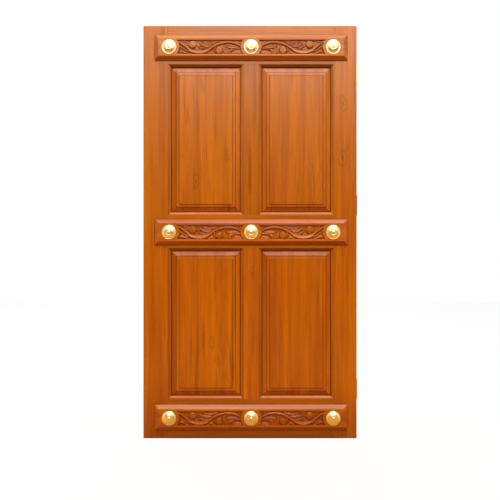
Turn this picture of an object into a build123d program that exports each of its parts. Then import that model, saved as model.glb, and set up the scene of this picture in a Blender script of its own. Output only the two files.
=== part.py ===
# Teak front door: a frame-and-panel leaf with three carved bands and brass studs, on three butt hinges.
# X runs along the width, Z up, and the outer face looks along -Y. The origin is the middle of the bottom edge.
import os
from math import atan, degrees, sqrt

from build123d import *

os.makedirs("parts", exist_ok=True)

# Leaf
leaf_width = 1065
leaf_height = 2060
leaf_thickness = 40
lock_stile_width = 123
hinge_stile_width = 112
top_rail_height = 190
middle_rail_height = 164
bottom_rail_height = 195
lower_opening_height = 756
mullion_width = 76

# Joinery
groove_width = 12
groove_depth = 12
tenon_margin = 28  # from a rail's edge to its tenon
bottom_tenon_gap = 35  # between the two tenons of the bottom rail
mullion_tenon_length = 45
wedge_length = 70
wedge_thickness = 6

# Raised panels
tongue_length = 10
tongue_play = 0.2  # on each face of a tongue in its groove
field_thickness = 32
slope_run = 22
slope_rise = 5
step_rise = 2
shelf_run = 15
shelf_rise = 1.2
field_edge_run = 1.5

# Planted beads round each opening
bead_width = 16
bead_set_back = 0.8  # below the face of the frame
bead_foot = 3.2  # the square edge that the bead keeps against the panel
bead_round = 17
bead_play = 0.3  # from the bead to the panel's slope

# Carved bands
band_length = 962
band_height = 128
band_proud = 20
band_edge = 5  # the square edge below the band's bevel
bevel_run = 19
top_band_clear = 16  # from the rail's lower edge to the band
middle_band_clear = 15
bottom_band_clear = 42
carving_height = 69
carving_depth = 8
boss_radius = 52  # the round of wood left under each stud
stem_rise = 7
leaf_rise = 5.5
bud_radius = 19
drawn_spacing = 413  # between the studs where the ornament's points were laid out

# Brass studs
stud_spacing = 408
stud_radius = 36
stud_height = 14

# Lift-off butt hinges
hinge_length = 100
flap_width = 30
flap_thickness = 3
flap_gap = 1.6  # between the flaps of a closed hinge
knuckle_radius = 6
knuckle_proud = 6.5  # from the inner face of the leaf to the pin's axis
knuckle_play = 0.3  # between the two knuckles
knuckle_cap = 4  # closes the leaf's knuckle over the pin
pin_radius = 3
pin_play = 0.05
pin_end_play = 1
screw_hole_radius = 2.3
screw_spacing = 36

# Places that follow from the sizes above
leaf_left = -leaf_width / 2
leaf_right = leaf_width / 2
front = -leaf_thickness / 2
back = leaf_thickness / 2
openings_left = leaf_left + lock_stile_width
openings_right = leaf_right - hinge_stile_width
centre_x = (openings_left + openings_right) / 2
mullion_left = centre_x - mullion_width / 2
mullion_right = centre_x + mullion_width / 2
middle_rail_bottom = bottom_rail_height + lower_opening_height
middle_rail_top = middle_rail_bottom + middle_rail_height
top_rail_bottom = leaf_height - top_rail_height

# Each opening of the frame: left, right, bottom and top
openings = {
    "upper_left": (openings_left, mullion_left, middle_rail_top, top_rail_bottom),
    "upper_right": (mullion_right, openings_right, middle_rail_top, top_rail_bottom),
    "lower_left": (openings_left, mullion_left, bottom_rail_height, middle_rail_bottom),
    "lower_right": (mullion_right, openings_right, bottom_rail_height, middle_rail_bottom),
}

# Each tenon of the rails, as its bottom and top
top_tenons = [(top_rail_bottom + tenon_margin, leaf_height - 2 * tenon_margin)]
middle_tenons = [(middle_rail_bottom + tenon_margin, middle_rail_top - tenon_margin)]
bottom_tenon_height = (bottom_rail_height - 3 * tenon_margin - bottom_tenon_gap) / 2
bottom_tenons = [
    (2 * tenon_margin, 2 * tenon_margin + bottom_tenon_height),
    (bottom_rail_height - tenon_margin - bottom_tenon_height, bottom_rail_height - tenon_margin),
]
rail_tenons = top_tenons + middle_tenons + bottom_tenons

band_rows = {
    "top": top_rail_bottom + top_band_clear + band_height / 2,
    "middle": middle_rail_bottom + middle_band_clear + band_height / 2,
    "bottom": bottom_band_clear + band_height / 2,
}
# Each hinge lines up with the edge of a rail, clear of the tenons
hinge_rows = {
    "top": top_rail_bottom - hinge_length / 2,
    "middle": middle_rail_top + hinge_length / 2,
    "bottom": bottom_rail_height + hinge_length / 2,
}


def save(part, name):
    """Label a finished piece and write it under its own name."""
    part.label = name
    export_step(part, f"parts/{name}.step")


def slab(left, right, bottom, top, depth, mode=Mode.ADD):
    """A straight piece or cut, centred in the leaf's thickness."""
    with Locations(((left + right) / 2, 0, (bottom + top) / 2)):
        Box(right - left, depth, top - bottom, mode=mode)


# Stiles: grooved for the panels, and mortised right through for the rails

def mortise_outline(inner, outer, bottom, top):
    """A mortise that flares towards the stile's outer edge, where the wedges spread the tenon."""
    toward = 1 if outer > inner else -1
    flare = outer - toward * wedge_length
    Polygon(
        (inner, bottom), (flare, bottom), (outer, bottom - wedge_thickness),
        (outer, top + wedge_thickness), (flare, top), (inner, top), align=None,
    )


def make_stile(name, outer, inner):
    toward = 1 if outer > inner else -1
    groove_floor = inner + toward * groove_depth
    left, right = sorted((outer, inner))
    with BuildPart() as stile:
        slab(left, right, 0, leaf_height, leaf_thickness)
        near, far = sorted((inner, groove_floor))
        for bottom, top in ((bottom_rail_height, middle_rail_bottom), (middle_rail_top, top_rail_bottom)):
            slab(near, far, bottom - groove_depth, top + groove_depth, groove_width, mode=Mode.SUBTRACT)
        with BuildSketch(Plane.XZ):
            for bottom, top in rail_tenons:
                mortise_outline(inner, outer, bottom, top)
        extrude(amount=groove_width / 2, both=True, mode=Mode.SUBTRACT)
        if name == "hinge_stile":
            for row in hinge_rows.values():
                with BuildSketch(Plane.YZ.offset(outer)):
                    with Locations((back - flap_width / 2, row)):
                        Rectangle(flap_width, hinge_length)
                extrude(amount=-flap_thickness, mode=Mode.SUBTRACT)
    save(stile.part, name)


make_stile("lock_stile", leaf_left, openings_left)
make_stile("hinge_stile", leaf_right, openings_right)


# Rails: tenons at both ends, grooves along the panels, and a mortise for each mullion

def make_rail(name, bottom, top, tenons, groove_below, groove_above):
    with BuildPart() as rail:
        slab(openings_left, openings_right, bottom, top, leaf_thickness)
        for low, high in tenons:
            slab(leaf_left, leaf_right, low, high, groove_width)
        for edge, inside, wanted in ((bottom, 1, groove_below), (top, -1, groove_above)):
            if not wanted:
                continue
            low, high = sorted((edge, edge + inside * groove_depth))
            slab(openings_left, openings_right, low, high, groove_width, mode=Mode.SUBTRACT)
            low, high = sorted((edge, edge + inside * mullion_tenon_length))
            slab(mullion_left + groove_depth, mullion_right - groove_depth, low, high, groove_width, Mode.SUBTRACT)
    save(rail.part, name)


make_rail("top_rail", top_rail_bottom, leaf_height, top_tenons, True, False)
make_rail("middle_rail", middle_rail_bottom, middle_rail_top, middle_tenons, True, True)
make_rail("bottom_rail", 0, bottom_rail_height, bottom_tenons, False, True)


# Mullions: the uprights between the panels, with a stub tenon at each end

def make_mullion(name, bottom, top):
    with BuildPart() as mullion:
        slab(mullion_left, mullion_right, bottom, top, leaf_thickness)
        for edge, inside in ((mullion_left, 1), (mullion_right, -1)):
            left, right = sorted((edge, edge + inside * groove_depth))
            slab(left, right, bottom, top, groove_width, mode=Mode.SUBTRACT)
        left, right = mullion_left + groove_depth, mullion_right - groove_depth
        slab(left, right, bottom - mullion_tenon_length, top + mullion_tenon_length, groove_width)
    save(mullion.part, name)


make_mullion("upper_mullion", middle_rail_top, top_rail_bottom)
make_mullion("lower_mullion", bottom_rail_height, middle_rail_bottom)


# Wedges, driven from the outer edges above and below each tenon

with BuildPart() as wedges:
    with BuildSketch(Plane.XZ):
        for outer, inside in ((leaf_left, 1), (leaf_right, -1)):
            tip = outer + inside * wedge_length
            for bottom, top in rail_tenons:
                for edge, away in ((bottom, -1), (top, 1)):
                    Polygon((tip, edge), (outer, edge), (outer, edge + away * wedge_thickness), align=None)
    extrude(amount=groove_width / 2, both=True)
save(wedges.part, "tenon_wedges")


# Raised panels: a tongue all round, a long slope, a small step, a narrow shelf and the flat field

def raise_step(opening, inset, height, rise, run=0):
    """One stage of a panel's moulding: the opening's outline, taken in by an inset, rises and slopes inwards."""
    left, right, bottom, top = opening
    with BuildSketch(Plane.XZ.offset(height)) as outline:
        with Locations(((left + right) / 2, (bottom + top) / 2)):
            Rectangle(right - left - 2 * inset, top - bottom - 2 * inset)
    extrude(outline.sketch, amount=rise, taper=degrees(atan(run / rise)))


def make_panel(name, opening):
    left, right, bottom, top = opening
    tongue = groove_width / 2 - tongue_play
    slope_start = bead_width + bead_play
    slope_end = slope_start + slope_run
    shelf_end = slope_end + shelf_run
    slope_top = tongue + slope_rise
    shelf_bottom = slope_top + step_rise
    shelf_top = shelf_bottom + shelf_rise
    with BuildPart() as panel:
        grow = tongue_length
        slab(left - grow, right + grow, bottom - grow, top + grow, 2 * tongue)
        raise_step(opening, slope_start, tongue, slope_rise, slope_run)
        raise_step(opening, slope_end, slope_top, step_rise)
        raise_step(opening, slope_end, shelf_bottom, shelf_rise, shelf_run)
        raise_step(opening, shelf_end, shelf_top, field_thickness / 2 - shelf_top, field_edge_run)
        mirror(about=Plane.XZ)
    save(panel.part, name)


for place, opening in openings.items():
    make_panel(f"{place}_panel", opening)


# Beads: an ovolo strip mitred round each opening, nailed to the frame and free of the panel

def bead_strip(corner, along, inward, length):
    """One mitred strip. It starts at a corner of the opening on the frame's face and runs along its edge."""
    depth = (leaf_thickness - groove_width) / 2
    foot = depth - bead_foot
    with BuildPart() as strip:
        with BuildSketch(Plane(origin=corner, x_dir=inward, z_dir=along)):
            with BuildLine():
                Line((0, -depth), (0, -bead_set_back))
                RadiusArc((0, -bead_set_back), (bead_width, -foot), bead_round)
                Polyline((bead_width, -foot), (bead_width, -depth), (0, -depth))
            make_face()
        extrude(amount=length)
        split(bisect_by=Plane(origin=corner, z_dir=along - inward), keep=Keep.TOP)
        split(bisect_by=Plane(origin=corner + along * length, z_dir=-along - inward), keep=Keep.TOP)
    return strip.part


def bead_strips(opening, outward):
    """The four strips round an opening, in order round its edge, on the face that outward points from."""
    left, right, bottom, top = opening
    face = outward * leaf_thickness / 2
    x_way = Vector(1, 0, 0) if outward < 0 else Vector(-1, 0, 0)
    start, end = (left, right) if outward < 0 else (right, left)
    up = Vector(0, 0, 1)
    width, height = right - left, top - bottom
    return {
        "bottom": bead_strip(Vector(start, face, bottom), x_way, up, width),
        "near_end": bead_strip(Vector(end, face, bottom), up, -x_way, height),
        "top": bead_strip(Vector(end, face, top), -x_way, -up, width),
        "near_start": bead_strip(Vector(start, face, top), -up, x_way, height),
    }


front_names = {"bottom": "bottom", "near_end": "right", "top": "top", "near_start": "left"}
for place, opening in openings.items():
    for side, strip in bead_strips(opening, -1).items():
        save(strip, f"{place}_bead_{front_names[side]}")
    with BuildPart() as back_beads:
        for strip in bead_strips(opening, 1).values():
            add(strip)
    save(back_beads.part, f"{place}_back_beads")


# Carving: points run from the outer stud of a half band towards its middle stud, and up from the studs' line

def at(along, up):
    return (along - stud_spacing, up)


def drawn(along, up):
    """A point of the ornament, which stretches with the distance between the studs."""
    return at(along * stud_spacing / drawn_spacing, up)


def stem_outline():
    """The flowing stem. Each edge is two arcs that meet smoothly where the curve turns over."""
    with BuildSketch() as outline:
        with BuildLine():
            ThreePointArc(drawn(45, 28), drawn(150, -11.5), drawn(218, 10.2))
            ThreePointArc(drawn(218, 10.2), drawn(300, 31), drawn(368, 7))
            Line(drawn(368, 7), drawn(364, 0))
            ThreePointArc(drawn(364, 0), drawn(300, 20), drawn(218, -2.6))
            ThreePointArc(drawn(218, -2.6), drawn(150, -25), drawn(44, 20))
            Line(drawn(44, 20), drawn(45, 28))
        make_face()
    return outline.sketch


def ground_outline():
    """The sunk ground between two studs, rounded out by the bosses at both ends."""
    half = carving_height / 2
    reach = sqrt(boss_radius**2 - half**2)
    far = stud_spacing - reach
    with BuildSketch() as outline:
        with BuildLine():
            Line(at(reach, -half), at(far, -half))
            ThreePointArc(at(far, -half), at(stud_spacing - boss_radius, 0), at(far, half))
            Line(at(far, half), at(reach, half))
            ThreePointArc(at(reach, half), at(boss_radius, 0), at(reach, -half))
        make_face()
    return outline.sketch


def petal(tip, bulge_out, root, bulge_in):
    """A leaf's lobe: two curved sides that meet in points at its tip and root."""
    with BuildSketch() as outline:
        with BuildLine():
            ThreePointArc(drawn(*tip), drawn(*bulge_out), drawn(*root))
            ThreePointArc(drawn(*root), drawn(*bulge_in), drawn(*tip))
        make_face()
    return outline.sketch


leaf_shapes = [
    petal((147, 9), (178, -6), (222, 4), (180, 3)),
    petal((161, 21), (190, 17), (222, 5), (186, 8)),
    petal((197, 30), (218, 14), (250, 20), (222, 25)),
    petal((287, 8), (325, -5), (364, -2), (325, 9)),
    petal((312, -31), (324, -19), (356, -4), (306, -8)),
    petal((52, -14), (74, -14), (95, -29), (70, -26)),
]
bud_places = [drawn(120, 11), drawn(252, -12)]
ground_shape = ground_outline()
stem_shape = stem_outline()


def band_plane(row, proud):
    """The band's own plane: X from its middle stud, Y up from the studs' line, looking out of the leaf."""
    return Plane(origin=(centre_x, front - proud, row), x_dir=(1, 0, 0), z_dir=(0, -1, 0))


def make_band(name, row):
    ground = band_proud - carving_depth
    with BuildPart() as band:
        with BuildSketch(band_plane(row, 0)):
            Rectangle(band_length, band_height)
        extrude(amount=band_proud)
        face = band.faces().sort_by(Axis.Y)[0]
        chamfer(face.edges(), length=bevel_run, length2=band_proud - band_edge, reference=face)
        with BuildSketch(band_plane(row, band_proud)):
            add(ground_shape)
            mirror(about=Plane.YZ)
        extrude(amount=-carving_depth, mode=Mode.SUBTRACT)
        with BuildSketch(band_plane(row, ground)):
            add(leaf_shapes)
            mirror(about=Plane.YZ)
        extrude(amount=leaf_rise)
        with BuildSketch(band_plane(row, ground)):
            add(stem_shape)
            with Locations(*bud_places):
                Circle(bud_radius)
            mirror(about=Plane.YZ)
        extrude(amount=stem_rise)
    save(band.part, f"{name}_carved_band")


for name, row in band_rows.items():
    make_band(name, row)


# Studs: domed brass bosses, each on its round of wood

with BuildPart() as stud:
    with BuildSketch(Plane(origin=(0, 0, 0), x_dir=(1, 0, 0), z_dir=(0, 0, -1))):
        dome_radius = (stud_radius**2 + stud_height**2) / (2 * stud_height)
        with BuildLine():
            Line((0, 0), (stud_radius, 0))
            RadiusArc((stud_radius, 0), (0, stud_height), -dome_radius)
            Line((0, stud_height), (0, 0))
        make_face()
    revolve(axis=Axis((0, 0, 0), (0, -1, 0)))

with BuildPart() as studs:
    stud_columns = [centre_x + side * stud_spacing for side in (-1, 0, 1)]
    with Locations(*[(column, front - band_proud, row) for column in stud_columns for row in band_rows.values()]):
        add(stud.part)
save(studs.part, "brass_studs")


# Hinges: one flap let into the edge of the leaf, one for the frame, with the knuckles at the inner face

pin_x = leaf_right + flap_gap / 2
pin_y = back + knuckle_proud
knuckle_length = (hinge_length - knuckle_play) / 2
bore_length = knuckle_length - knuckle_cap


def flap_outline(side, knuckle=False):
    """A flap's plan, with its knuckle or without it. side is -1 on the leaf and 1 on the frame."""
    inner_face = pin_x + side * flap_gap / 2
    near, far = sorted((inner_face, inner_face + side * flap_thickness))
    end = pin_y if knuckle else back
    with BuildSketch() as outline:
        with Locations(((near + far) / 2, (back - flap_width + end) / 2)):
            Rectangle(far - near, end - back + flap_width)
        if knuckle:
            with Locations((pin_x, pin_y)):
                Circle(knuckle_radius)
    return outline.sketch


def make_leaf_flap(name, row):
    with BuildPart() as flap:
        with BuildSketch(Plane.XY.offset(row - hinge_length / 2)):
            add(flap_outline(-1))
        extrude(amount=hinge_length)
        with BuildSketch(Plane.XY.offset(row + knuckle_play / 2)):
            add(flap_outline(-1, knuckle=True))
        extrude(amount=knuckle_length)
        with BuildSketch(Plane.XY.offset(row + knuckle_play / 2)):
            with Locations((pin_x, pin_y)):
                Circle(pin_radius + pin_play)
        extrude(amount=bore_length, mode=Mode.SUBTRACT)
    save(flap.part, name)


def make_frame_flap(name, row):
    with BuildPart() as flap:
        with BuildSketch(Plane.XY.offset(row - hinge_length / 2)):
            add(flap_outline(1))
        extrude(amount=hinge_length)
        with BuildSketch(Plane.XY.offset(row - hinge_length / 2)):
            add(flap_outline(1, knuckle=True))
        extrude(amount=knuckle_length)
        with BuildSketch(Plane.XY.offset(row - knuckle_play / 2)):
            with Locations((pin_x, pin_y)):
                Circle(pin_radius)
        extrude(amount=knuckle_play + bore_length - pin_end_play)
        with BuildSketch(Plane.YZ.offset(pin_x + flap_gap / 2)):
            with Locations((back - flap_width / 2, row)):
                with GridLocations(0, screw_spacing, 1, 3):
                    Circle(screw_hole_radius)
        extrude(amount=flap_thickness, mode=Mode.SUBTRACT)
    save(flap.part, name)


for name, row in hinge_rows.items():
    make_leaf_flap(f"{name}_hinge_leaf_flap", row)
    make_frame_flap(f"{name}_hinge_frame_flap", row)
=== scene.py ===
import bpy
import math
import numpy as np
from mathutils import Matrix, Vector


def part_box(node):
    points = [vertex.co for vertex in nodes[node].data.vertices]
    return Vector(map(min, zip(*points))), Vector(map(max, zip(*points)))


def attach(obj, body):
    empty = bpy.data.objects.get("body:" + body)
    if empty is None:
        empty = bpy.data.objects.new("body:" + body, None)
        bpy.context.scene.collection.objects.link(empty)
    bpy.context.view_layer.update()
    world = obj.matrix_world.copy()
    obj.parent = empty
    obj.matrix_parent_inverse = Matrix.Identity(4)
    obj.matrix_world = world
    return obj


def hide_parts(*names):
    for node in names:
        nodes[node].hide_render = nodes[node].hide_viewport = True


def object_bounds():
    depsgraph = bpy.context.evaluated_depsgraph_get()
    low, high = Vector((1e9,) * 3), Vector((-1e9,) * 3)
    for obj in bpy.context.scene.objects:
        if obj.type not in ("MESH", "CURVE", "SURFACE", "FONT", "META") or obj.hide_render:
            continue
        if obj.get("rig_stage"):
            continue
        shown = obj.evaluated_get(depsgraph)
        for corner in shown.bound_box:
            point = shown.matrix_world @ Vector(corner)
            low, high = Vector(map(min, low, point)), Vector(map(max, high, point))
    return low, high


# Dresses the carved teak door leaf: soft-edged joinery, hand-cut carving, turned brass studs,
# hinge screws and finishes

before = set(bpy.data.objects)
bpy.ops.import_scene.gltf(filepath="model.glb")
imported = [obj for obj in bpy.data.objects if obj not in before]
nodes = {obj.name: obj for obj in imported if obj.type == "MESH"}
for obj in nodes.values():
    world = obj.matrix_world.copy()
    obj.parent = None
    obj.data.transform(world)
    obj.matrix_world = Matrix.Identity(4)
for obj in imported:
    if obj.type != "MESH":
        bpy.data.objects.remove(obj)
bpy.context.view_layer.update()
mm = 0.001
weldGap = 0.01 * mm
print("frame loaded:", len(nodes), "nodes")


# Small helpers

def freshSelection(obj=None):
    if bpy.context.object and bpy.context.object.mode != "OBJECT":
        bpy.ops.object.mode_set(mode="OBJECT")
    bpy.ops.object.select_all(action="DESELECT")
    if obj:
        obj.select_set(True)
        bpy.context.view_layer.objects.active = obj


def applyPlace(obj):
    freshSelection(obj)
    bpy.ops.object.transform_apply(location=True, rotation=True, scale=True)


def addModifier(obj, kind, **values):
    freshSelection(obj)
    modifier = obj.modifiers.new(kind.title(), kind)
    for name, value in values.items():
        setattr(modifier, name, value)
    bpy.ops.object.modifier_apply(modifier=modifier.name)


def smoothEdges(obj, degrees):
    freshSelection(obj)
    bpy.ops.object.shade_smooth_by_angle(angle=math.radians(degrees))


def dress(obj, material, body="leaf", stands=()):
    obj.data.materials.clear()
    obj.data.materials.append(material)
    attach(obj, body)
    if stands:
        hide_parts(*stands)
    return obj


# Shader building

def newMaterial(name):
    material = bpy.data.materials.new(name)
    material.use_nodes = True
    tree = material.node_tree
    return material, tree, tree.nodes["Principled BSDF"]


def newGroup(name, inputs, outputs):
    group = bpy.data.node_groups.new(name, "ShaderNodeTree")
    for label, kind, value in inputs:
        socket = group.interface.new_socket(label, in_out="INPUT", socket_type=kind)
        if value is not None:
            socket.default_value = value
    for label, kind in outputs:
        group.interface.new_socket(label, in_out="OUTPUT", socket_type=kind)
    return group, group.nodes.new("NodeGroupInput"), group.nodes.new("NodeGroupOutput")


def link(tree, source, target):
    if hasattr(source, "is_output"):
        tree.links.new(source, target)
    else:
        target.default_value = source


def useGroup(tree, group, values):
    node = tree.nodes.new("ShaderNodeGroup")
    node.node_tree = group
    for label, value in values.items():
        link(tree, value, node.inputs[label])
    return node.outputs


def maths(tree, operation, a, b=0.0, clamp=False):
    node = tree.nodes.new("ShaderNodeMath")
    node.operation = operation
    node.use_clamp = clamp
    link(tree, a, node.inputs[0])
    link(tree, b, node.inputs[1])
    return node.outputs[0]


def times(tree, first, *others):
    for value in others:
        first = maths(tree, "MULTIPLY", first, value)
    return first


def add(tree, first, *others):
    for value in others:
        first = maths(tree, "ADD", first, value)
    return first


def vectorMaths(tree, operation, a, b=(0, 0, 0)):
    node = tree.nodes.new("ShaderNodeVectorMath")
    node.operation = operation
    link(tree, a, node.inputs[0])
    if operation != "LENGTH":
        link(tree, b, node.inputs[1])
    return node.outputs["Value" if operation == "LENGTH" else "Vector"]


def splitVector(tree, vector):
    node = tree.nodes.new("ShaderNodeSeparateXYZ")
    tree.links.new(vector, node.inputs[0])
    return node.outputs


def noise(tree, place, stretch, detail, rough, seed=0.0):
    node = tree.nodes.new("ShaderNodeTexNoise")
    node.noise_dimensions = "4D"
    link(tree, vectorMaths(tree, "MULTIPLY", place, stretch), node.inputs["Vector"])
    link(tree, seed, node.inputs["W"])
    node.inputs["Scale"].default_value = 1.0
    node.inputs["Detail"].default_value = detail
    node.inputs["Roughness"].default_value = rough
    return node.outputs


def remap(tree, value, low, high, toLow=0.0, toHigh=1.0):
    node = tree.nodes.new("ShaderNodeMapRange")
    node.interpolation_type = "SMOOTHSTEP"
    link(tree, value, node.inputs["Value"])
    ends = (("From Min", low), ("From Max", high), ("To Min", toLow), ("To Max", toHigh))
    for socket, number in ends:
        link(tree, number, node.inputs[socket])
    return node.outputs["Result"]


def mixColour(tree, share, a, b, mode="MIX"):
    node = tree.nodes.new("ShaderNodeMix")
    node.data_type = "RGBA"
    node.blend_type = mode
    link(tree, share, node.inputs[0])
    link(tree, a, node.inputs[6])
    link(tree, b, node.inputs[7])
    return node.outputs[2]


def addBump(tree, shader, height, strength, depth):
    bump = tree.nodes.new("ShaderNodeBump")
    bump.inputs["Strength"].default_value = strength
    bump.inputs["Distance"].default_value = depth
    tree.links.new(height, bump.inputs["Height"])
    tree.links.new(bump.outputs[0], shader.inputs["Normal"])


# Teak: the figure of the wood, with painted shade in creases, along the panels' steps, in the
# carved ground and on faces turned from the light, and painted light higher up

grain = {
    # marks in the wood: stretch, detail, roughness, seed shift, and where each begins and is full
    "marks": {
        "ringFade": ((5, 5, 0.9), 1.0, 0.5, 7.0, 0.35, 0.68),
        "tone": ((13, 13, 0.8), 3.0, 0.55, 3.0, 0.36, 0.66),
        "bands": ((38, 38, 1.0), 3.0, 0.6, 11.0, 0.42, 0.70),
        "hair": ((170, 170, 6.0), 3.0, 0.6, 29.0, 0.46, 0.74),
        "streak": ((62, 62, 3.4), 3.0, 0.55, 19.0, 0.57, 0.70),
        "smear": ((26, 26, 7), 4.0, 0.65, 41.0, 0.58, 0.78),
        "fleck": ((900, 900, 55), 1.0, 0.5, 0.0, 0.60, 0.72),
    },
    # how strongly each mark stains, and its colour where that isn't the board's own dark one
    "stains": {
        "bands": (0.40, None), "hair": (0.34, None), "rings": (0.75, None),
        "smear": (0.40, (0.22, 0.045, 0.003, 1)), "streak": (0.60, (0.15, 0.030, 0.002, 1)),
        "fleck": (0.30, (0.10, 0.02, 0.002, 1)), "knot": (0.62, (0.12, 0.026, 0.003, 1)),
    },
    # painted light: how far the upper part turns to the paler tone
    "skylitStrength": 0.6,
    "drift": ((3, 3, 0.8), 2.0, 0.5), "driftAcross": 0.10, "driftDepth": 0.09, "lean": 0.035,
    "ripple": ((14, 14, 2.2), 3.0, 0.6), "rippleReach": 0.011,
    "lateWood": (0.35, 0.92), "ringEnd": (1.0, 0.94), "fadingRings": 0.5, "leastRings": 0.22,
    "knotCloud": ((70, 70, 30), 2.0, 0.6), "knotWander": (0.022, 0.0, 0.05),
    "knotSquash": (1, 0.4, 0.42), "knotPush": 0.02,
    "knotCore": (0.55, 0.10, 0.0, 0.75), "knotRim": (0.26, 0.0, 0.0, 0.55),
    "knotHalo": (3.2, 0.4), "haloShare": 0.8,
    "rough": 0.22, "roughTone": 0.06, "roughFleck": 0.08,
    "ringRelief": -0.35, "fleckRelief": 0.6,
}


def knotIn(group, place, spot, size, seed):
    cloud = noise(group, place, *grain["knotCloud"], seed)["Color"]
    wander = vectorMaths(group, "SUBTRACT", cloud, (0.5, 0.5, 0.5))
    wander = vectorMaths(group, "MULTIPLY", wander, grain["knotWander"])
    ragged = vectorMaths(group, "ADD", place, wander)
    away = vectorMaths(group, "SUBTRACT", ragged, spot)
    away = vectorMaths(group, "MULTIPLY", away, grain["knotSquash"])
    return maths(group, "DIVIDE", vectorMaths(group, "LENGTH", away), size)


def makeTeakGroup():
    number, vector, colour = "NodeSocketFloat", "NodeSocketVector", "NodeSocketColor"
    group, inside, outside = newGroup(
        "teakFigure",
        [
            ("Place", vector, None), ("Seed", number, 0.0),
            ("Heart Across", number, 0.0), ("Heart Depth", number, 0.09),
            ("Ring Pitch", number, 0.006), ("Rings", number, 0.4), ("Streaks", number, 0.5),
            ("Knot A", vector, (9.0, 9.0, 9.0)), ("Knot A Size", number, 0.02),
            ("Knot B", vector, (9.0, 9.0, 9.0)), ("Knot B Size", number, 0.02),
            ("Pale", colour, (0.6, 0.2, 0.03, 1)), ("Mid", colour, (0.5, 0.13, 0.01, 1)),
            ("Dark", colour, (0.3, 0.06, 0.004, 1)), ("Bleached", colour, (0.66, 0.2, 0.02, 1)),
            ("Bleach", number, 0.0),
        ],
        [("Color", colour), ("Roughness", number), ("Height", number)],
    )
    given = inside.outputs
    place, seed = given["Place"], given["Seed"]

    def field(stretch, detail, rough, shift, low, high):
        cloud = noise(group, place, stretch, detail, rough, add(group, seed, shift))["Fac"]
        return remap(group, cloud, low, high)

    def sway(cloud, reach):
        return times(group, maths(group, "SUBTRACT", cloud, 0.5), reach)

    marks = {name: field(*values) for name, values in grain["marks"].items()}
    marks["streak"] = times(group, marks["streak"], given["Streaks"])
    marks["smear"] = times(group, marks["smear"], given["Streaks"])

    knotA = knotIn(group, place, given["Knot A"], given["Knot A Size"], seed)
    knotB = knotIn(group, place, given["Knot B"], given["Knot B Size"], seed)
    nearKnot = maths(group, "MINIMUM", knotA, knotB)
    core = remap(group, nearKnot, *grain["knotCore"])
    halo = times(group, remap(group, nearKnot, *grain["knotHalo"]), marks["smear"],
                 grain["haloShare"])
    offRim = maths(group, "ABSOLUTE", maths(group, "SUBTRACT", nearKnot, 1.0))
    rim = remap(group, offRim, *grain["knotRim"])
    marks["knot"] = maths(group, "MAXIMUM", maths(group, "ADD", core, halo, clamp=True), rim)

    # growth rings: circles round the heart of the log, which drifts along its length
    across, depth, along = splitVector(group, place)
    drift = splitVector(group, noise(group, place, *grain["drift"], seed)["Color"])
    ripple = noise(group, place, *grain["ripple"], seed)["Fac"]
    knotPush = maths(group, "DIVIDE", 1.0, add(group, maths(group, "POWER", nearKnot, 2.0), 1.0))
    ringAcross = maths(group, "SUBTRACT", across, given["Heart Across"])
    ringAcross = add(group, ringAcross, sway(drift[0], grain["driftAcross"]))
    ringDepth = add(group, depth, given["Heart Depth"], times(group, along, grain["lean"]),
                    sway(drift[1], grain["driftDepth"]))
    squares = add(group, times(group, ringAcross, ringAcross), times(group, ringDepth, ringDepth))
    radius = add(group, maths(group, "SQRT", squares), sway(ripple, grain["rippleReach"]),
                 times(group, knotPush, grain["knotPush"]))
    phase = maths(group, "FRACT", maths(group, "DIVIDE", radius, given["Ring Pitch"]))
    late = times(group, remap(group, phase, *grain["lateWood"]),
                 remap(group, phase, *grain["ringEnd"]))
    shown = add(group, times(group, marks["ringFade"], grain["fadingRings"]), grain["leastRings"])
    marks["rings"] = times(group, late, shown, given["Rings"])

    colour = mixColour(group, marks["tone"], given["Pale"], given["Mid"])
    # painted light: higher up the colour turns paler, as if more sky light fell there
    skylitMix = times(group, given["Bleach"], grain["skylitStrength"])
    colour = mixColour(group, skylitMix, colour, given["Bleached"])
    for name, (strength, dye) in grain["stains"].items():
        share = times(group, marks[name], strength)
        colour = mixColour(group, share, colour, dye or given["Dark"])
    rough = add(group, grain["rough"], times(group, marks["tone"], grain["roughTone"]),
                times(group, marks["fleck"], grain["roughFleck"]))
    height = maths(group, "SUBTRACT", times(group, marks["rings"], grain["ringRelief"]),
                   times(group, marks["fleck"], grain["fleckRelief"]))
    group.links.new(colour, outside.inputs["Color"])
    group.links.new(rough, outside.inputs["Roughness"])
    group.links.new(height, outside.inputs["Height"])
    return group


def makeCreaseShadeGroup():
    number = "NodeSocketFloat"
    group, inside, outside = newGroup(
        "paintedCreaseShade",
        [("Reach", number, 0.008), ("Open", number, 0.92), ("Shut", number, 0.5)],
        [("Mask", number)],
    )
    # painted shade: ambient occlusion darkens creases, corners and the foot of raised parts
    shade = group.nodes.new("ShaderNodeAmbientOcclusion")
    shade.samples = 6
    group.links.new(inside.outputs["Reach"], shade.inputs["Distance"])
    mask = remap(group, shade.outputs["AO"], inside.outputs["Open"], inside.outputs["Shut"])
    group.links.new(mask, outside.inputs["Mask"])
    return group


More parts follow.
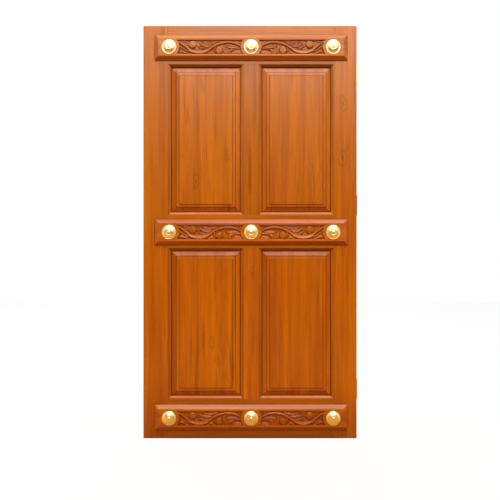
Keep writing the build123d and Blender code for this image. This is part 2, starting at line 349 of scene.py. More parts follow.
def makeStepShadeGroup():
    number, vector = "NodeSocketFloat", "NodeSocketVector"
    group, inside, outside = newGroup(
        "paintedStepShade",
        [
            ("Place", vector, None), ("Middle", vector, None),
            ("Half Width", number, 0.2), ("Half Height", number, 0.4),
            ("Inset A", number, 0.016), ("Inset B", number, 0.038), ("Inset C", number, 0.053),
            ("Line", number, 0.002),
        ],
        [("Mask", number)],
    )
    given = inside.outputs
    # painted shade: thin dark lines along each step of a raised panel
    away = vectorMaths(group, "SUBTRACT", given["Place"], given["Middle"])
    across, _, up = splitVector(group, vectorMaths(group, "ABSOLUTE", away))
    inset = maths(group, "MINIMUM", maths(group, "SUBTRACT", given["Half Width"], across),
                  maths(group, "SUBTRACT", given["Half Height"], up))
    mask = 0.0
    for label in ("Inset A", "Inset B", "Inset C"):
        off = maths(group, "ABSOLUTE", maths(group, "SUBTRACT", inset, given[label]))
        mask = maths(group, "MAXIMUM", mask, remap(group, off, given["Line"], 0.0))
    group.links.new(mask, outside.inputs["Mask"])
    return group


teakGroup = makeTeakGroup()
creaseShadeGroup = makeCreaseShadeGroup()
stepShadeGroup = makeStepShadeGroup()
teak = {
    "pale": (0.595, 0.148, 0.001, 1), "mid": (0.445, 0.090, 0.001, 1),
    "dark": (0.26, 0.040, 0.001, 1),
    # painted light: a paler tone, blended in between these two heights, makes the upper part look
    # lit by more sky
    "bleached": (0.64, 0.195, 0.008, 1), "skylitFrom": 0.75, "skylitTo": 1.75,
    "ringPitch": 0.0065, "knotDepth": -0.018,
    "specular": 0.30, "bumpStrength": 0.5, "bumpDepth": 0.12 * mm,
    # painted shade laid in creases and along the panels' steps: its colour, how far the crease
    # shade reaches and how much of it
    "crease": (0.13, 0.018, 0.0006, 1), "creaseShadeReach": 0.006, "creaseShadeShare": 0.8,
    # painted shade lines along the panels' steps: their width and share
    "stepShadeLine": 0.0026, "stepShadeShare": 0.78,
    # painted shade in the carving's sunk ground
    "sunk": (0.20, 0.034, 0.002, 1), "sunkShare": 0.12, "sunkEdge": 0.001,
    "foot": (0.66, 0.58, 0.50, 1), "footTop": 0.36,  # the stiles are darker towards the floor
    "under": (0.70, 0.50, 0.30, 1),  # painted shade on faces that look down
    # painted shade also on a panel's faces that look left, away from the light
    "underFrom": -0.04, "underTo": -0.2, "leftShadeShare": 0.35,
}


def makeTeak(name, seed, heart, level=False, knots=(), streaks=0.45, rings=0.4, shade=1.0,
             sunk=None, moulding=None, reach=teak["creaseShadeReach"], crease=teak["creaseShadeShare"],
             foot=False):
    material, tree, shader = newMaterial(name)
    coords = tree.nodes.new("ShaderNodeTexCoord")
    place = coords.outputs["Object"]
    turn = tree.nodes.new("ShaderNodeMapping")
    turn.inputs["Rotation"].default_value = (0, math.radians(-90) if level else 0, 0)
    tree.links.new(place, turn.inputs["Vector"])
    _, inward, up = splitVector(tree, place)
    values = {
        "Place": turn.outputs[0], "Seed": seed, "Heart Across": heart[0], "Heart Depth": heart[1],
        "Ring Pitch": teak["ringPitch"], "Streaks": streaks, "Rings": rings,
        # painted light rises with the height
        "Bleach": remap(tree, up, teak["skylitFrom"], teak["skylitTo"]),
    }
    for label, (x, z, size) in zip(("Knot A", "Knot B"), knots):
        values[label], values[label + " Size"] = (x, teak["knotDepth"], z), size
    for key in ("pale", "mid", "dark", "bleached"):
        r, g, b, a = teak[key]
        values[key.title()] = (r * shade, g * shade, b * shade, a)
    figure = useGroup(tree, teakGroup, values)
    colour = figure["Color"]
    # painted shade: the carving's sunk ground is darkened, more the deeper it lies
    if sunk:
        shallow, deep, middle, half = sunk
        depth = remap(tree, inward, shallow, deep)
        away = maths(tree, "ABSOLUTE", maths(tree, "SUBTRACT", up, middle))
        field = remap(tree, away, half, half - teak["sunkEdge"])
        share = times(tree, depth, field, teak["sunkShare"])
        colour = mixColour(tree, share, colour, teak["sunk"])
    # painted shade lines along each step of the panel's mouldings
    if moulding:
        low, high = moulding
        values = {"Place": place, "Middle": (low + high) / 2, "Line": teak["stepShadeLine"],
                  "Half Width": (high.x - low.x) / 2, "Half Height": (high.z - low.z) / 2}
        for label, inset in zip(("Inset A", "Inset B", "Inset C"), boards["panelLines"]):
            values[label] = inset * mm
        stepShade = useGroup(tree, stepShadeGroup, values)["Mask"]
        colour = mixColour(tree, times(tree, stepShade, teak["stepShadeShare"]), colour, teak["crease"])
    # painted shade on faces that look down, and on a panel's faces that look left, away from the
    # light
    sideways, _, upward = splitVector(tree, coords.outputs["Normal"])
    under = remap(tree, upward, teak["underFrom"], teak["underTo"])
    if moulding:
        left = remap(tree, sideways, teak["underFrom"], teak["underTo"])
        under = maths(tree, "MAXIMUM", under, times(tree, left, teak["leftShadeShare"]))
    colour = mixColour(tree, under, colour, teak["under"], "MULTIPLY")
    # darker towards the floor
    if foot:
        nearFloor = remap(tree, up, teak["footTop"], 0.0)
        colour = mixColour(tree, nearFloor, colour, teak["foot"], "MULTIPLY")
    # painted shade in creases and round raised parts
    creaseShadeMask = useGroup(tree, creaseShadeGroup, {"Reach": reach})["Mask"]
    colour = mixColour(tree, times(tree, creaseShadeMask, crease), colour, teak["crease"])
    tree.links.new(colour, shader.inputs["Base Color"])
    tree.links.new(figure["Roughness"], shader.inputs["Roughness"])
    shader.inputs["Specular IOR Level"].default_value = teak["specular"]
    addBump(tree, shader, figure["Height"], teak["bumpStrength"], teak["bumpDepth"])
    return material


# Brass: tarnish in clouds and fine scratches

brass = {
    "stud": (0.92, 0.70, 0.34, 1), "studRough": 0.33, "studCoat": 0.6,
    "hinge": (0.74, 0.50, 0.18, 1), "hingeRough": 0.24, "hingeCoat": 0.0,
    "coatRough": 0.22,
    "cloud": ((60, 60, 60), 3.0, 0.6), "scratch": ((900, 900, 900), 2.0, 0.5),
    "tarnish": (0.72, 0.62, 0.45), "tarnishFrom": 0.45, "tarnishFull": 0.75, "tarnishShare": 0.35,
    "wear": 0.07, "bumpStrength": 0.15, "bumpDepth": 0.05 * mm,
}


def makeBrass(name, kind):
    material, tree, shader = newMaterial(name)
    shader.inputs["Metallic"].default_value = 1.0
    shader.inputs["Coat Weight"].default_value = brass[kind + "Coat"]
    shader.inputs["Coat Roughness"].default_value = brass["coatRough"]
    place = tree.nodes.new("ShaderNodeTexCoord").outputs["Object"]
    cloud = noise(tree, place, *brass["cloud"])["Fac"]
    scratch = noise(tree, place, *brass["scratch"])["Fac"]
    clean = brass[kind]
    dull = tuple(a * b for a, b in zip(clean, brass["tarnish"])) + (1,)
    spread = remap(tree, cloud, brass["tarnishFrom"], brass["tarnishFull"])
    colour = mixColour(tree, times(tree, spread, brass["tarnishShare"]), clean, dull)
    wear = add(tree, brass[kind + "Rough"], times(tree, cloud, brass["wear"]))
    tree.links.new(colour, shader.inputs["Base Color"])
    tree.links.new(wear, shader.inputs["Roughness"])
    addBump(tree, shader, scratch, brass["bumpStrength"], brass["bumpDepth"])
    return material


studBrass = makeBrass("studBrass", "stud")
hingeBrass = makeBrass("hingeBrass", "hinge")
print("finishes made")


# Boards: each CAD board is copied, its loose triangles merged, and its sharp edges eased as
# sandpaper leaves them

boards = {
    "ease": 0.7 * mm, "easeFrom": 28,
    "panelEase": 0.6 * mm, "panelEaseFrom": 4,  # the raised panel's slopes meet at small angles
    "beadEase": 0.5 * mm,
    "segments": 2,
    "flatUnder": 1, "smoothUnder": 50,
    # insets from the tongue's edge to each step of a panel, where painted shade lines lie
    "panelLines": (27.0, 50.3, 65.5),
}


def easeBoard(name, width, fromAngle=boards["easeFrom"]):
    source = nodes[name]
    piece = source.copy()
    piece.data = source.data.copy()
    piece.name = name + "_eased"
    for key in [k for k in piece.keys() if k.startswith("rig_")]:
        del piece[key]
    bpy.context.scene.collection.objects.link(piece)
    freshSelection(piece)
    bpy.ops.object.mode_set(mode="EDIT")
    bpy.ops.mesh.select_all(action="SELECT")
    bpy.ops.mesh.remove_doubles(threshold=weldGap)
    bpy.ops.mesh.dissolve_limited(angle_limit=math.radians(boards["flatUnder"]))
    bpy.ops.object.mode_set(mode="OBJECT")
    addModifier(piece, "BEVEL", width=width, segments=boards["segments"], limit_method="ANGLE",
                angle_limit=math.radians(fromAngle), miter_outer="MITER_SHARP",
                use_clamp_overlap=True)
    smoothEdges(piece, boards["smoothUnder"])
    # broad faces stay flat between soft edges
    addModifier(piece, "WEIGHTED_NORMAL", keep_sharp=True, weight=100)
    return piece


joinery = {  # knots: place across, height and size
    "lock_stile": dict(seed=1.0, heart=(-0.36, 0.16), streaks=0.35, rings=0.3, foot=True),
    "hinge_stile": dict(seed=2.3, heart=(0.56, 0.18), streaks=0.3, rings=0.3, foot=True,
                        knots=[(0.466, 1.672, 0.016), (0.462, 1.399, 0.017)]),
    # on the rails the reach widens the painted crease shade into painted shadow round the bands;
    # the middle rail takes less of it
    "top_rail": dict(seed=3.1, heart=(1.93, 0.16), level=True, streaks=0.4, reach=0.02,
                     shade=0.95),
    "middle_rail": dict(seed=4.2, heart=(1.05, 0.14), level=True, streaks=0.3, crease=0.5),
    "bottom_rail": dict(seed=5.4, heart=(0.02, 0.12), level=True, streaks=0.5, reach=0.02,
                        shade=0.83),
    "upper_mullion": dict(seed=6.2, heart=(0.09, 0.17), streaks=0.6, rings=0.3, shade=0.82),
    "lower_mullion": dict(seed=7.7, heart=(-0.05, 0.12), streaks=0.4, rings=0.3, shade=1.1,
                          knots=[(0.012, 0.83, 0.010)]),
    "tenon_wedges": dict(seed=8.0, heart=(1.0, 0.12), level=True, streaks=0.3, shade=0.8),
}
panels = {
    "upper_left_panel": dict(seed=11.0, heart=(-0.05, 0.12), streaks=0.8, rings=0.35,
                             knots=[(-0.116, 1.417, 0.011), (-0.27, 1.285, 0.014)]),
    "upper_right_panel": dict(seed=12.6, heart=(0.36, 0.13), streaks=0.55, rings=0.35),
    "lower_left_panel": dict(seed=13.4, heart=(-0.12, 0.10), streaks=0.7, rings=0.4,
                             knots=[(-0.190, 0.478, 0.013), (-0.162, 0.395, 0.011)]),
    "lower_right_panel": dict(seed=14.8, heart=(0.13, 0.13), streaks=0.45, rings=0.35),
}
beads = {  # by the ending of the node's name
    # painted shade: each bead is the one teak darkened by how its side is turned from the light,
    # most on the top bead, which looks down
    "bead_left": ("teakBeadLeft", dict(seed=21.0, heart=(0.1, 0.2), shade=0.78)),
    "bead_right": ("teakBeadRight", dict(seed=22.0, heart=(0.3, 0.2), shade=0.82)),
    "bead_top": ("teakBeadTop", dict(seed=23.0, heart=(0.9, 0.2), shade=0.5, level=True)),
    "bead_bottom": ("teakBeadBottom", dict(seed=24.0, heart=(0.7, 0.2), shade=0.98, level=True)),
    "back_beads": ("teakBeadBack", dict(seed=25.0, heart=(0.2, 0.2))),
}
beadStreaks = 0.2

for name, look in joinery.items():
    material = makeTeak("teak_" + name, **look)
    dress(easeBoard(name, boards["ease"]), material, stands=[name])
for name, look in panels.items():
    material = makeTeak("teak_" + name, moulding=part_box(name), **look)
    piece = easeBoard(name, boards["panelEase"], boards["panelEaseFrom"])
    dress(piece, material, stands=[name])
beadTeak = {
    ending: makeTeak(label, streaks=beadStreaks, **look) for ending, (label, look) in beads.items()
}
for name in sorted(nodes):
    for ending, material in beadTeak.items():
        if name.endswith(ending):
            dress(easeBoard(name, boards["beadEase"]), material, stands=[name])
print("boards eased")


# Carving: the band's surface is worked out as a height over a fine grid, measured in millimetres
# from its middle stud

carving = {
    "bandHalfLength": 481.0, "bandHalfHeight": 64.0, "edge": 5.0, "proud": 20.0, "bevelRun": 19.0,
    "arris": 1.1, "rubbed": 1.2, "rubbedOver": 0.7,  # how the bevel's upper and outer edges wear
    "studSpacing": 408.0, "bossRadius": 52.0, "fieldHalf": 34.5, "depth": 8.0,
    "drawnSpacing": 413.0,  # between the studs where the ornament's points were laid out
    "wall": (-0.2, 1.6), "lipDrop": 0.5, "lipAt": -1.6, "lipReach": 6.0,  # the field's edge
    "belowFace": 0.2,  # how far the ornament stays under the band's face
    "spared": 0.3,  # what is lower than this isn't cut away beside a shape
    "toolMarks": 0.22 / 3.0, "toolWaves": 14, "toolSeed": 7, "waveAcross": 0.5, "waveUp": 0.6,
    "groundUnder": 0.4, "marksEverywhere": 0.35,
    # painted shade in the carved ground: the depth where it begins, how far past the field it
    # reaches, and the share of painted crease shade
    "sunkShadeFrom": 2.0, "sunkShadePast": 1.0, "crease": 0.45, "streaks": 0.3,
    "smoothUnder": 40,
    # the grid: its pitch in the field, and its lines from a band's edge and about the bevel's top
    "pitch": 0.95, "fieldMargin": 3.0, "fillRow": 40.5, "gapLines": 18, "middleLines": 10,
    "edgeLines": (0, 0.4, 0.9, 1.6, 4, 8, 12), "bevelLines": (-2.4, -1.4, -0.5, 0.5, 1.4, 2.6),
}
stems = {
    "path": [
        (40, 29), (55, 21), (74, 8), (90, -4), (106, -14), (124, -20.5), (147, -23.5),
        (168, -22.5), (187, -17.5), (203, -10), (216, -2.5), (231, 6.5), (247, 14), (263, 19.5),
        (281, 22.8), (300, 23.8), (319, 21.8), (338, 16), (354, 8), (372, -5),
    ],
    "widths": [
        (40, 4.6), (75, 5.4), (105, 8.0), (135, 9.8), (170, 9.6), (205, 7.2), (235, 6.8),
        (300, 6.8), (340, 5.8), (370, 4.4),
    ],
    # heights of the section, from the stem's lower edge to its upper one
    "across": [-1.0, -0.86, -0.5, 0.0, 0.4, 0.78, 1.0],
    "gouged": [4.4, 7.2, 6.6, 4.8, 3.2, 4.4, 2.4],  # at the trough, where it lies open upwards
    "round": [1.8, 4.2, 6.6, 7.7, 6.9, 5.6, 3.4],
    "gougedIn": (84, 112), "gougedOut": (188, 226),
    "lineDepth": 0.45, "lineTurns": 3.2, "lineFade": (1.0, 0.75),
    "steps": 120, "moat": (2.6, 2.4),
}
leaves = {
    "lobes": [  # spine, half width, height and depth of the grooves along it
        ([(281, 14), (277, -4), (280, -20), (290, -38)], 8.0, 3.4, 0.5),
        ([(372, -31), (352, -28), (334, -29), (316, -37)], 7.6, 5.6, 0.5),
        ([(340, -9), (316, -12), (306, -22), (308, -38)], 7.4, 6.0, 0.8),
        ([(368, -7), (340, -3), (313, -1), (284, 1)], 8.6, 6.4, 1.0),
        ([(230, -36), (220, -24), (214, -15), (212, -8)], 6.4, 5.2, 0.5),
        ([(232, -36), (218, -27), (204, -28), (190, -37)], 6.2, 5.8, 0.6),
        ([(262, 25), (236, 21), (213, 19), (192, 33)], 7.6, 6.2, 0.8),
        ([(222, 12), (202, 15), (184, 18), (167, 32)], 7.4, 5.2, 0.8),
        ([(226, 6), (200, 4), (176, 7), (152, 19)], 7.4, 6.0, 0.8),
        ([(228, 1), (206, -7), (176, -9), (142, 6)], 5.8, 6.4, 0.6),
        ([(44, 4), (57, -8), (70, -15), (82, -21)], 4.4, 4.6, 0.3),
        ([(44, -27), (62, -20), (80, -25), (104, -35)], 7.0, 5.4, 0.8),
        ([(44, 16), (66, -3), (86, -16), (114, -28)], 4.6, 6.2, 0.3),
        ([(238, 4), (231, -6), (230, -18), (240, -30)], 5.2, 6.2, 0.0),
    ],
    "tipPower": 0.6, "leastHalf": 0.25, "sides": 0.38, "crown": 0.62, "ends": 0.8, "swell": 0.2,
    "rib": 1.6, "ribWidth": 1.1, "ribEnd": 0.97, "grooveTurns": 4, "grooveIn": (0.04, 0.3),
    "steps": 40, "moat": (2.2, 2.0),
}
scrolls = {
    "buds": [  # centre, radius, start, turn, groove's depth, and how much deeper variety cuts it
        ((252, -16.5), 18.0, 2.2, -1, 0.6, 1.6),
        ((119, 12), 19.5, 3.6, 1, 0.4, 1.4),
    ],
    "height": 7.6, "sides": 0.55, "crown": 0.45, "domePower": 2.6, "winding": 0.62, "crest": 0.42,
    "button": 1.4, "buttonSize": 0.20, "grooveIn": (0.16, 0.30), "grooveOut": (0.90, 1.02),
    "edgeFrom": 0.86, "edgeDrop": 0.25, "moat": (2.4, 2.0),
}


def smoothPath(points, count):
    p = np.array(points, float)
    p = np.vstack([2 * p[0] - p[1], p, 2 * p[-1] - p[-2]])
    t = np.linspace(0, len(points) - 1 - 1e-9, count)
    i = t.astype(int)
    f = (t - i)[:, None]
    a, b, c, d = p[i], p[i + 1], p[i + 2], p[i + 3]
    square = (2 * a - 5 * b + 4 * c - d) * f**2
    return 0.5 * (2 * b + (c - a) * f + square + (3 * b - a - 3 * c + d) * f**3)


def ease(x, low, high):
    t = np.clip((x - low) / (high - low), 0, 1)
    return t * t * (3 - 2 * t)


def nearest(u, v, path):  # distance from a path, its side, and the share of the path passed
    best = np.full(u.shape, 1e9)
    side = np.zeros(u.shape)
    share = np.zeros(u.shape)
    steps = len(path) - 1
    for k in range(steps):
        ax, ay = path[k]
        dx, dy = path[k + 1] - path[k]
        t = np.clip(((u - ax) * dx + (v - ay) * dy) / (dx * dx + dy * dy), 0, 1)
        ox, oy = u - ax - t * dx, v - ay - t * dy
        away = np.hypot(ox, oy)
        closer = away < best
        best = np.where(closer, away, best)
        side = np.where(closer, np.sign(dx * oy - dy * ox), side)
        share = np.where(closer, (k + t) / steps, share)
    return best, side, share


def carveIn(ground, shape, outline, moat):  # what lies round a shape is cut away beside it
    cut, reach = moat
    lowered = np.exp(-np.clip(outline, 0, None) ** 2 / reach**2) * cut
    lowered = np.where(outline > 0, ground - lowered * (ground > carving["spared"]), ground)
    return np.where(outline <= 0, shape, np.maximum(lowered, 0.0))


def stem(u, v):
    s = stems
    path = smoothPath(s["path"], s["steps"])
    away, side, share = nearest(u, v, path)
    along = np.interp(share, np.linspace(0, 1, s["steps"]), path[:, 0])
    widths = np.array(s["widths"], float)
    half = np.interp(along, widths[:, 0], widths[:, 1])
    t = side * away / half
    gouged = np.interp(t, s["across"], s["gouged"])
    rounded = np.interp(t, s["across"], s["round"])
    share = ease(along, *s["gougedIn"]) * (1 - ease(along, *s["gougedOut"]))
    lines = s["lineDepth"] * np.cos(t * math.pi * s["lineTurns"])
    lines = lines * ease(np.abs(t), *s["lineFade"])
    height = gouged * share + rounded * (1 - share) - lines
    return np.where(away < half, height, 0), away - half


def leafLobe(u, v, path, width, height, lines):
    s = leaves
    away, _, share = nearest(u, v, smoothPath(path, s["steps"]))
    half = width * np.sin(np.clip(share, 0, 1) * math.pi) ** s["tipPower"] + s["leastHalf"]
    t = np.clip(away / half, 0, 1)
    body = height * (s["sides"] + s["crown"] * np.sqrt(1 - t**2))
    body = body * (s["ends"] + s["swell"] * np.sin(share * math.pi))
    rib = s["rib"] * np.exp(-(away / s["ribWidth"]) ** 2) * (share < s["ribEnd"])
    grooves = lines * (1 - np.cos(t * math.pi * s["grooveTurns"])) * 0.5
    grooves = grooves * ease(share, *s["grooveIn"])
    return np.where(t < 1, body - rib - grooves, 0), away - half


def scroll(u, v, centre, radius, start, turn, groove):
    s = scrolls
    x, y = u - centre[0], v - centre[1]
    r = np.hypot(x, y) + 1e-6
    angle = (np.arctan2(y, x) * turn - start) / (2 * math.pi)
    arm = np.log(radius / r) / s["winding"] - angle
    crest = ease(np.abs(arm - np.round(arm)) * 2, 0.0, s["crest"])
    dome = np.sqrt(np.clip(1 - (r / radius) ** s["domePower"], 0, 1))
    button = np.exp(-(r / (radius * s["buttonSize"])) ** 4) * s["button"]
    live = ease(r, *(radius * edge for edge in s["grooveIn"]))
    live = live * (1 - ease(r, *(radius * edge for edge in s["grooveOut"])))
    shape = s["height"] * (s["sides"] + s["crown"] * dome)
    shape = shape - groove * (1 - crest) * live + button * (groove > 1)
    shape = shape * (1 - s["edgeDrop"] * ease(r, radius * s["edgeFrom"], radius))
    return np.where(r < radius, shape, 0), r - radius


def ornament(u, v, variety):
    h = np.zeros(u.shape)
    for lobe in leaves["lobes"]:
        h = carveIn(h, *leafLobe(u, v, *lobe), leaves["moat"])
    for centre, radius, start, turn, groove, deeper in scrolls["buds"]:
        bud = scroll(u, v, centre, radius, start, turn, groove + deeper * variety)
        h = carveIn(h, *bud, scrolls["moat"])
    return carveIn(h, *stem(u, v), stems["moat"])


def toolMarks(x, z):
    rng = np.random.default_rng(carving["toolSeed"])
    across, up = carving["waveAcross"], carving["waveUp"]
    marks = np.zeros(x.shape)
    for _ in range(carving["toolWaves"]):
        fx, fz, ph = rng.uniform(-across, across), rng.uniform(-up, up), rng.uniform(0, 6.28)
        marks += np.sin(fx * x + fz * z + ph)
    return marks * carving["toolMarks"]


def bandHeight(x, z, variety):
    c = carving
    rim = np.minimum(c["bandHalfLength"] - np.abs(x), c["bandHalfHeight"] - np.abs(z))
    slope = (c["proud"] - c["edge"]) / c["bevelRun"]
    face = c["edge"] + np.clip(rim, 0, None) * slope
    over, soft = face - c["proud"], c["arris"]
    rounded = c["proud"] - (over - soft) ** 2 / (4 * soft)
    face = np.where(over < -soft, face, np.where(over > soft, c["proud"], rounded))
    face = face - c["rubbed"] * np.exp(-np.clip(rim, 0, None) / c["rubbedOver"])
    u = c["studSpacing"] - np.abs(x)
    boss = np.minimum(np.hypot(u, z), np.hypot(u - c["studSpacing"], z)) - c["bossRadius"]
    inField = np.minimum(boss, c["fieldHalf"] - np.abs(z))
    inField = np.where((u > 0) & (u < c["studSpacing"]), inField, -1e3)
    cut = ease(inField, *c["wall"])
    marks = toolMarks(x, z)
    relief = ornament(u * c["drawnSpacing"] / c["studSpacing"], z, variety)
    onGround = marks * (relief < c["groundUnder"])
    relief = np.minimum(relief, c["depth"] - c["belowFace"])
    relief = relief + onGround + marks * c["marksEverywhere"]
    fieldLevel = c["proud"] - c["depth"] + relief
    lip = c["lipDrop"] * np.exp(-((inField - c["lipAt"]) ** 2))
    return face * (1 - cut) + fieldLevel * cut - lip * (inField > -c["lipReach"])


def bandLines():
    c = carving
    edge = [*c["edgeLines"], *(c["bevelRun"] + step for step in c["bevelLines"])]
    left = [-c["bandHalfLength"] + e for e in edge]
    reach = math.sqrt(c["bossRadius"] ** 2 - c["fieldHalf"] ** 2)
    start, end = -c["studSpacing"] + reach - c["fieldMargin"], -reach + c["fieldMargin"]
    dense = list(np.linspace(start, end, int((end - start) / c["pitch"]) + 1))
    gap = list(np.linspace(left[-1], start, c["gapLines"])[1:-1])
    middle = list(np.linspace(end, 0, c["middleLines"])[1:-1])
    leftHalf = left + gap + dense + middle
    xs = leftHalf + [0.0] + [-x for x in reversed(leftHalf)]
    low = [-c["bandHalfHeight"] + e for e in edge] + [-c["fillRow"]]
    field = c["fieldHalf"] + c["fieldMargin"]
    rows = list(np.linspace(-field, field, int(2 * field / c["pitch"]) + 1))
    zs = low + rows + [-z for z in reversed(low)]
    return np.array(xs), np.array(zs)


def makeBand(name, material, variety, flip):
    low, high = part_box(name)
    centreX, centreZ, backY = (low.x + high.x) / 2, (low.z + high.z) / 2, high.y
    xs, zs = bandLines()
    gx, gz = np.meshgrid(xs, zs)
    h = bandHeight(-gx if flip else gx, gz, variety)
    freshSelection()
    bpy.ops.mesh.primitive_grid_add(x_subdivisions=len(xs) - 1, y_subdivisions=len(zs) - 1, size=1)
    piece = bpy.context.object
    piece.name = name + "_cut"
    co = np.zeros(len(piece.data.vertices) * 3)
    co[0::3] = gx.ravel() * mm + centreX
    co[1::3] = backY - h.ravel() * mm
    co[2::3] = gz.ravel() * mm + centreZ
    piece.data.vertices.foreach_set("co", co)
    piece.data.update()
    freshSelection(piece)
    bpy.ops.object.mode_set(mode="EDIT")
    bpy.ops.mesh.select_all(action="SELECT")
    bpy.ops.mesh.region_to_loop()
    bpy.ops.mesh.extrude_edges_move()
    bpy.ops.object.mode_set(mode="OBJECT")
    for vertex in piece.data.vertices:
        if vertex.select:
            vertex.co.y = backY
    bpy.ops.object.mode_set(mode="EDIT")
    bpy.ops.mesh.edge_face_add()
    bpy.ops.mesh.select_all(action="SELECT")
    bpy.ops.mesh.normals_make_consistent(inside=False)
    bpy.ops.object.mode_set(mode="OBJECT")
    smoothEdges(piece, carving["smoothUnder"])
    print(name, len(piece.data.polygons), "faces")
    return dress(piece, material, stands=[name])


bandLooks = {
    "top_carved_band": dict(seed=31.0, heart=(1.99, 0.15), variety=0.0, flip=False),
    "middle_carved_band": dict(seed=32.7, heart=(1.06, 0.13), variety=1.0, flip=False),
    "bottom_carved_band": dict(seed=34.1, heart=(0.13, 0.14), variety=0.6, flip=True),
}
for name, look in bandLooks.items():
    low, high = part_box(name)
    # the painted shade in the carved ground, and the painted crease shade, reach a little past the
    # field
    half = (carving["fieldHalf"] + carving["sunkShadePast"]) * mm
    shallow, deep = low.y + carving["sunkShadeFrom"] * mm, low.y + carving["depth"] * mm
    material = makeTeak("teak_" + name, look["seed"], look["heart"], level=True,
                        streaks=carving["streaks"], reach=half, crease=carving["crease"],
                        sunk=(shallow, deep, (low.z + high.z) / 2, half))
    makeBand(name, material, look["variety"], look["flip"])
print("bands carved")


# Studs: one turned profile, spun and copied to the nine places

studs = {
    "profile": [  # radius and height in millimetres, from the rim to the button
        (36.0, 0.0), (36.0, 1.0), (35.6, 1.9), (34.6, 2.4), (33.4, 2.3), (32.8, 2.1), (32.2, 2.7),
        (29.6, 4.9), (26.2, 7.0), (22.6, 8.7), (18.8, 10.0), (16.2, 10.6), (15.4, 11.1),
        (14.2, 11.35), (13.0, 11.2), (12.0, 10.9), (10.6, 10.8), (9.0, 10.95), (7.8, 11.4),
        (7.0, 12.4), (6.0, 13.2), (4.2, 13.7), (2.0, 13.95), (0.0, 14.0),
    ],
    "steps": 64, "smoothUnder": 50,
    "spacing": 408.0,
}


def makeStud():
    mesh = bpy.data.meshes.new("studProfile")
    points = [(r * mm, -h * mm, 0) for r, h in studs["profile"]]
    mesh.from_pydata(points, [(i, i + 1) for i in range(len(points) - 1)], [])
    stud = bpy.data.objects.new("studMaster", mesh)
    bpy.context.scene.collection.objects.link(stud)
    freshSelection(stud)
    bpy.ops.object.mode_set(mode="EDIT")
    bpy.ops.mesh.select_all(action="SELECT")
    bpy.ops.mesh.spin(steps=studs["steps"], angle=2 * math.pi, center=(0, 0, 0), axis=(0, 1, 0))
    bpy.ops.mesh.select_all(action="SELECT")
    bpy.ops.mesh.remove_doubles(threshold=weldGap)
    bpy.ops.mesh.select_all(action="DESELECT")
    bpy.ops.mesh.select_non_manifold()
    bpy.ops.mesh.edge_face_add()
    bpy.ops.mesh.select_all(action="SELECT")
    bpy.ops.mesh.normals_make_consistent(inside=False)
    bpy.ops.object.mode_set(mode="OBJECT")
    smoothEdges(stud, studs["smoothUnder"])
    return stud


master = makeStud()
centreX = sum(c.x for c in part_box("brass_studs")) / 2
copies = []
for band in bandLooks:
    low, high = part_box(band)
    for side in (-1, 0, 1):
        stud = master.copy()
        stud.data = master.data.copy()
        stud.name = "stud_" + band.split("_")[0] + "_" + str(side + 2)
        bpy.context.scene.collection.objects.link(stud)
        stud.location = (centreX + side * studs["spacing"] * mm, low.y, (low.z + high.z) / 2)
        applyPlace(stud)
        copies.append(dress(stud, studBrass, stands=["brass_studs"]))
bpy.data.objects.remove(master)
print("studs turned:", len(copies))


# Hinges: the CAD flaps stay, with eased, slotted screw heads in the leaf's flaps

screws = {  # in millimetres
    "headRadius": 4.2, "headDepth": 2.0, "easing": 0.35, "stand": 0.15, "sides": 32,
    "slotWidth": 1.0, "slotDepth": 0.9, "slotLength": 12.0,
    "spacing": 36.0, "fromFlapEdge": 15.0,
    "turnStart": 0.6, "turnStep": 0.9,  # each slot stands at its own angle
    "easeFrom": 60, "smoothUnder": 40,
}


def makeScrew(place, name, turned):
    half = screws["headDepth"] / 2 * mm
    freshSelection()
    bpy.ops.mesh.primitive_cylinder_add(vertices=screws["sides"], depth=2 * half,
                                        radius=screws["headRadius"] * mm,
                                        location=(0, 0, 0), rotation=(0, math.pi / 2, 0))
    head = bpy.context.object
    applyPlace(head)
    addModifier(head, "BEVEL", width=screws["easing"] * mm, segments=2, limit_method="ANGLE",
                angle_limit=math.radians(screws["easeFrom"]))
    freshSelection()
    bpy.ops.mesh.primitive_cube_add(size=1, location=(half, 0, 0), rotation=(turned, 0, 0))
    slot = bpy.context.object
    slot.scale = (2 * screws["slotDepth"] * mm, screws["slotLength"] * mm,
                  screws["slotWidth"] * mm)
    applyPlace(slot)
    addModifier(head, "BOOLEAN", object=slot, operation="DIFFERENCE", solver="EXACT")
    bpy.data.objects.remove(slot)
    head.name = name
    head.location = (place.x + screws["stand"] * mm - half, place.y, place.z)
    applyPlace(head)
    smoothEdges(head, screws["smoothUnder"])
    return dress(head, hingeBrass)


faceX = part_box("hinge_stile")[1].x
for name in sorted(nodes):
    if name.endswith("_flap"):
        nodes[name].material_slots[0].material = hingeBrass
    if name.endswith("leaf_flap"):
        low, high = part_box(name)
        for step in (-1, 0, 1):
            place = Vector((faceX, low.y + screws["fromFlapEdge"] * mm,
                            (low.z + high.z) / 2 + step * screws["spacing"] * mm))
            turned = screws["turnStart"] + screws["turnStep"] * step + low.z
            makeScrew(place, name + "_screw_" + str(step + 2), turned)
print("hinges finished")


# Floor, light and camera

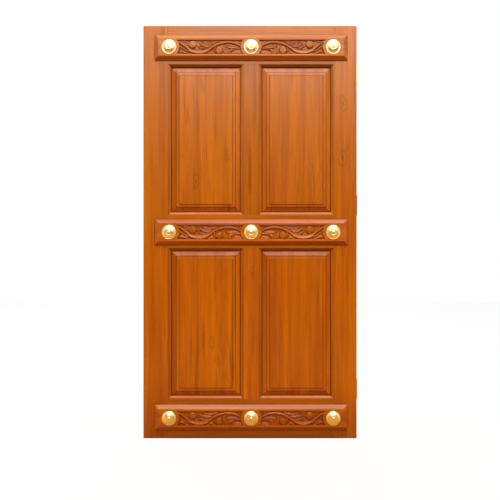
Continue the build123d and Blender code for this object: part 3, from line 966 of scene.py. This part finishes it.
stage = {
    "floorSize": 8.0, "floorPlace": (0, 1.8, 0), "floorColour": (0.85, 0.85, 0.85, 1),
    "whiteShare": 0.92, "floorShine": 0.1, "rough": 0.9,
    "worldLevel": 0.12,
    "aim": (0, 0, 1.03),
    "lamps": {  # place, size and power
        "skyLamp": ((0.5, -4.6, 6.5), (5.4, 8.3), 715.0),
        "overheadLamp": ((0.4, 0.4, 8.5), (6.0, 3.0), 95.0),
        "backLamp": ((-1.6, 5.2, 5.4), (4.0, 4.0), 330.0),
    },
    "cards": {  # reflectors the camera can't see: place, turn about X, size and colour
        "darkCard": ((0, -6.0, 0.0), -90, (14.0, 6.0), (0.06, 0.06, 0.06, 1)),
        "warmMat": ((0, -1.7, 0.002), 0, (5.0, 3.9), (0.70, 0.40, 0.08, 1)),
    },
}


def seenOrMirrored(tree):  # 1 where the camera, a gloss or a glass looks straight at it
    rays = tree.nodes.new("ShaderNodeLightPath")
    seen = add(tree, rays.outputs["Is Camera Ray"], rays.outputs["Is Glossy Ray"])
    return maths(tree, "ADD", seen, rays.outputs["Is Transmission Ray"], clamp=True)


def makeWorld():
    world = bpy.data.worlds.new("studioWorld")
    bpy.context.scene.world = world
    world.use_nodes = True
    tree = world.node_tree
    background = tree.nodes["Background"]
    level = stage["worldLevel"]
    strength = add(tree, level, times(tree, seenOrMirrored(tree), 1 - level))
    tree.links.new(strength, background.inputs["Strength"])
    background.inputs["Color"].default_value = (1, 1, 1, 1)


def makeFloor():
    freshSelection()
    bpy.ops.mesh.primitive_plane_add(size=stage["floorSize"], location=stage["floorPlace"])
    floor = bpy.context.object
    floor.name = "studioFloor"
    material, tree, shader = newMaterial("floorPale")
    shader.inputs["Base Color"].default_value = stage["floorColour"]
    shader.inputs["Roughness"].default_value = stage["rough"]
    shader.inputs["Specular IOR Level"].default_value = stage["floorShine"]
    glow = tree.nodes.new("ShaderNodeEmission")
    mix = tree.nodes.new("ShaderNodeMixShader")
    tree.links.new(times(tree, seenOrMirrored(tree), stage["whiteShare"]), mix.inputs[0])
    tree.links.new(shader.outputs[0], mix.inputs[1])
    tree.links.new(glow.outputs[0], mix.inputs[2])
    tree.links.new(mix.outputs[0], tree.nodes["Material Output"].inputs["Surface"])
    floor.data.materials.append(material)
    applyPlace(floor)
    floor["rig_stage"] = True


def makeCard(name, place, turn, size, colour):
    freshSelection()
    bpy.ops.mesh.primitive_plane_add(size=1, location=place, rotation=(math.radians(turn), 0, 0))
    card = bpy.context.object
    card.name = name
    card.scale = (*size, 1)
    applyPlace(card)
    card.visible_camera = False
    card.visible_shadow = False
    material, _, shader = newMaterial(name + "Cloth")
    shader.inputs["Base Color"].default_value = colour
    shader.inputs["Roughness"].default_value = stage["rough"]
    card.data.materials.append(material)
    card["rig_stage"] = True


def makeLamp(name, place, size, power):
    lamp = bpy.data.lights.new(name, "AREA")
    lamp.shape = "RECTANGLE"
    lamp.size, lamp.size_y = size
    lamp.energy = power
    holder = bpy.data.objects.new(name, lamp)
    bpy.context.scene.collection.objects.link(holder)
    holder.location = place
    towards = Vector(stage["aim"]) - Vector(place)
    holder.rotation_euler = towards.to_track_quat("-Z", "Y").to_euler()


makeWorld()
makeFloor()
for name, look in stage["cards"].items():
    makeCard(name, *look)
for name, look in stage["lamps"].items():
    makeLamp(name, *look)

camera = {
    "distance": 3.0,  # from the leaf's outer face
    "pixel": 4.996 * mm,  # the size at that face of one of the picture's pixels
    "picture": 500, "sensor": 36.0,
    "eyeRow": 232.0, "leafBottomRow": 438.3,
}


def makeCamera():
    data = bpy.data.cameras.new("viewCamera")
    view = bpy.data.objects.new("viewCamera", data)
    bpy.context.scene.collection.objects.link(view)
    span = camera["picture"] * camera["pixel"]
    data.sensor_width = camera["sensor"]
    data.lens = data.sensor_width * camera["distance"] / span
    eye = (camera["leafBottomRow"] - camera["eyeRow"]) * camera["pixel"]
    data.shift_y = (camera["eyeRow"] - camera["picture"] / 2) / camera["picture"]
    view.location = (0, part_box("lock_stile")[0].y - camera["distance"], eye)
    view.rotation_euler = (math.radians(90), 0, 0)
    bpy.context.scene.camera = view


makeCamera()
bpy.context.scene.view_settings.view_transform = "Standard"
low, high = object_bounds()
print("scene ready")
